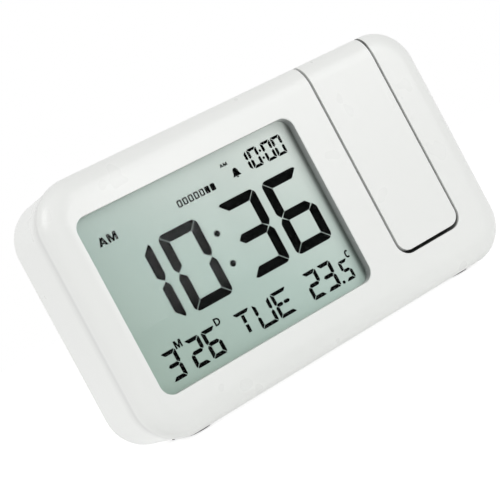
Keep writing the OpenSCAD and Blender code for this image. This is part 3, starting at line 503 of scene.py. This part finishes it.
def letter_m(bm, x, z, w, h, t):
    """The sign M, likewise."""
    half = [(w / 2 + 0.35 * t, 0), (w - t, 0.6 * h), (w - t, 0), (w, 0), (w, h), (w - 1.25 * t, h)]
    outline = half + [(w / 2, 0.36 * h)] + [(w - u, v) for u, v in half[::-1]]
    plate(bm, [(x + u, z + v) for u, v in outline], *INK)


def letter_d(bm, x, z, w, h, t):
    """The sign D, likewise."""
    r = (h - t) / 2
    bow = arc(x + w - t / 2 - r, z + h / 2, r, 90, -90, 10)
    stroke(bm, [(x + t / 2, z + t / 2), (x + t / 2, z + h - t / 2)] + bow, t, *INK, closed=True)


def letter_c(bm, x, z, w, h, t):
    """The sign C, likewise."""
    bow = [(x + w / 2 + u * (w - t) / 2, z + h / 2 + v * (h - t) / 2) for u, v in arc(0, 0, 1, 50, 310, 14)]
    stroke(bm, bow, t, *INK)


# sign, left edge and foot from the middle of the marks, width, height and line width
SIGNS = ((letter_a, -34.8, 18.75, 2.784, 2.7, 0.72), (letter_m, -31.6, 18.75, 3.2, 2.7, 0.72),
         (letter_a, 12.35, 23.7, 1.1745, 1.1, 0.28), (letter_m, 13.7, 23.7, 1.35, 1.1, 0.28),
         (letter_m, -28.95, -18.0, 2.45, 2.5, 0.52), (letter_d, -14.2, -17.95, 2.05, 2.45, 0.5),
         (letter_c, 36.8, -19.65, 1.75, 2.6, 0.5))
BELL = (16.4, 19.0, 3.0)                # middle, foot and height of the alarm sign
BELL_HALF = [(0.0, 1.0), (0.1, 0.98), (0.22, 0.88), (0.3, 0.7), (0.33, 0.45), (0.4, 0.26), (0.5, 0.16),
             (0.5, 0.1)]
DAY_X, DAY_Z, DAY_PITCH = -6.4, 18.6, 2.1
DAY_W, DAY_H, DAY_LINE = 1.6, 2.25, 0.42
WORKDAYS = 5


def bell(x, z, size):
    """Outlines of a bell and its clapper, seen from the front."""
    dome = [(x + u * size, z + v * size) for u, v in BELL_HALF]
    dome += [(x - u * size, z + v * size) for u, v in BELL_HALF[:0:-1]]
    return dome, arc(x, z + 0.06 * size, 0.13 * size, 180, 360, 8)


def day_marks(bm):
    """Seven small boxes for the days of the week: open for the workdays, full for the rest."""
    for day in range(7):
        x0, z0 = MARK_X + DAY_X + day * DAY_PITCH, MARK_Z + DAY_Z
        box = rounded(x0, x0 + DAY_W, z0, z0 + DAY_H, 0.35, 4)
        if day < WORKDAYS:
            hole = rounded(x0 + DAY_LINE, x0 + DAY_W - DAY_LINE, z0 + DAY_LINE, z0 + DAY_H - DAY_LINE, 0.1, 4)
            band(bm, box, hole, *INK)
        else:
            plate(bm, box, *INK)


def make_display_marks():
    bm = bmesh.new()
    for letter, x, z, *sizes in SIGNS:
        letter(bm, MARK_X + x, MARK_Z + z, *sizes)
    for outline in bell(MARK_X + BELL[0], MARK_Z + BELL[1], BELL[2]):
        plate(bm, outline, *INK)
    day_marks(bm)
    piece("display_marks", bm, "case", "display_ink")


WINDOW_R = 4.2
PANE_OVER = 1.2                         # how far the pane goes under the case all round
SHADE_SHEET_T, SHADE_SHEET_START = 0.06, 0.3        # the painted-shade sheet's thickness, and where it starts behind the front
CLEARANCE = 0.02


def window(grow):
    """The window's outline, grown by that much."""
    over = PANE_OVER - grow
    x0, x1, z0, z1 = PANE[0].x + over, PANE[1].x - over, PANE[0].z + over, PANE[1].z - over
    return rounded(x0, x1, z0, z1, WINDOW_R + grow, 12)


def make_window():
    """The clear pane, just clear of the marks behind it, and a thin sheet of painted shade on the walls of
    the recess.
    """
    bm = bmesh.new()
    plate(bm, window(PANE_OVER), PANE[0].y, PANE[1].y - CLEARANCE)
    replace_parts(piece("clear_window", bm, "case", "clear_pane"), "window_pane")
    bm = bmesh.new()
    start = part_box("front_shell")[0].y / MM + SHADE_SHEET_START
    band(bm, window(0), window(-SHADE_SHEET_T), start, PANE[0].y - CLEARANCE)
    piece("recess_shade_sheet", bm, "case", "ribbon_grey", material("recess_shade_sheet", recess_shade_sheet))


make_display_marks()
make_window()


# ---- printed signs on the keys at the back, in the keys' own places ----

PRINT_T, PRINT_LINE = 0.05, 0.3


def sign_lines(kind):
    """Lines, each with whether it is closed, and filled outlines of a key's sign, about 2.6 wide."""
    if kind == "mode":
        return [(circle(0, 0, 1.2), True), ([(0, 0.8), (0, 0), (0.55, 0)], False)], []
    if kind == "alarm":
        return [], bell(0, -1.3, 2.6)
    if kind == "light":
        rays = [([(0.95 * math.cos(a), 0.95 * math.sin(a)), (1.35 * math.cos(a), 1.35 * math.sin(a))], False)
                for a in (math.radians(45 * i) for i in range(8))]
        return rays, [circle(0, 0, 0.6)]
    way = 1 if kind == "up" else -1
    return [], [[(-1.2, -0.75 * way), (1.2, -0.75 * way), (0, 0.95 * way)]]


def make_key_signs():
    for kind in ("mode", "alarm", "light", "up", "down"):
        low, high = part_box("button_" + kind)
        x, z, y = (low.x + high.x) / 2 / MM, (low.z + high.z) / 2 / MM, high.y / MM
        lines, shapes = sign_lines(kind)
        bm = bmesh.new()
        for points, closed in lines:
            stroke(bm, [(x - u, z + v) for u, v in points], PRINT_LINE, y, y + PRINT_T, closed)
        for outline in shapes:
            plate(bm, [(x - u, z + v) for u, v in outline], y, y + PRINT_T)
        look = material("print_grey", SLOT_LOOKS["black_plastic"])
        piece("sign_" + kind, bm, "key_" + kind, "ribbon_grey", look)


make_key_signs()


# ---- light, floor and backdrop ----

ROOM, ROOM_ALONG, ROOM_UP = 0.43, -0.22, 0.1     # the room's light, and its change to the right and upwards
FLOOR_SIZE, FLOOR_TONE = 12, 0.7
FLOOR_GLOW, FLOOR_SEEN = 0.25, 0.7               # the floor's own light, and the same as the camera sees it
AIM = (0, 0, 0.04)
# name, place, aim, size and power
LAMPS = (("key", (0.42, -0.72, 0.34), AIM, 0.5, 1.95),
         ("low", (0.3, -0.8, 0.08), (0.02, 0, 0.04), 0.14, 0.4),
         ("side", (-1.0, -0.25, 0.85), AIM, 0.7, 4.4))


def area_lamp(name, place, aim, size, power):
    data = bpy.data.lights.new(name, "AREA")
    data.shape, data.size, data.energy = "SQUARE", size, power
    lamp = bpy.data.objects.new(name, data)
    SCENE.collection.objects.link(lamp)
    lamp.location = place
    lamp.rotation_mode = "QUATERNION"
    lamp.rotation_quaternion = (Vector(aim) - Vector(place)).to_track_quat("-Z", "Y")


def is_seen(g):
    """1 for rays that show the background: straight from the camera, or by way of metal or glass."""
    path = g.add("ShaderNodeLightPath")
    seen = g.math("MAXIMUM", path.outputs["Is Camera Ray"], path.outputs["Is Glossy Ray"])
    return g.math("MAXIMUM", seen, path.outputs["Is Transmission Ray"])


def make_world():
    """Soft room light, brighter from above and from the left, before a white backdrop."""
    world = bpy.data.worlds.new("world")
    SCENE.world = world
    g = Graph(world)
    way = g.axes(g.add("ShaderNodeTexCoord").outputs["Generated"])
    tilt = g.math("ADD", g.math("MULTIPLY", way[0], ROOM_ALONG), g.math("MULTIPLY", way[2], ROOM_UP))
    room = g.add("ShaderNodeBackground", {"Color": (1, 1, 1, 1), "Strength": g.math("ADD", tilt, ROOM)})
    white = g.add("ShaderNodeBackground", {"Color": (1, 1, 1, 1), "Strength": 1.0})
    mixed = g.add("ShaderNodeMixShader", {0: is_seen(g), 1: room.outputs[0], 2: white.outputs[0]})
    g.add("ShaderNodeOutputWorld", {0: mixed.outputs[0]})


def make_floor():
    """White floor that keeps the clock's shadow."""
    bpy.ops.mesh.primitive_plane_add(size=FLOOR_SIZE)
    floor = bpy.context.object
    floor.name = "floor"
    made = bpy.data.materials.new("floor")
    g = Graph(made)
    matt = g.add("ShaderNodeBsdfDiffuse", {"Color": (FLOOR_TONE, FLOOR_TONE, FLOOR_TONE, 1)})
    strength = g.span(is_seen(g), FLOOR_GLOW, FLOOR_SEEN)
    glow = g.add("ShaderNodeEmission", {"Color": (1, 1, 1, 1), "Strength": strength})
    g.finish(g.add("ShaderNodeAddShader", {0: matt.outputs[0], 1: glow.outputs[0]}).outputs[0])
    floor.data.materials.append(made)


make_world()
make_floor()
for lamp in LAMPS:
    area_lamp(*lamp)
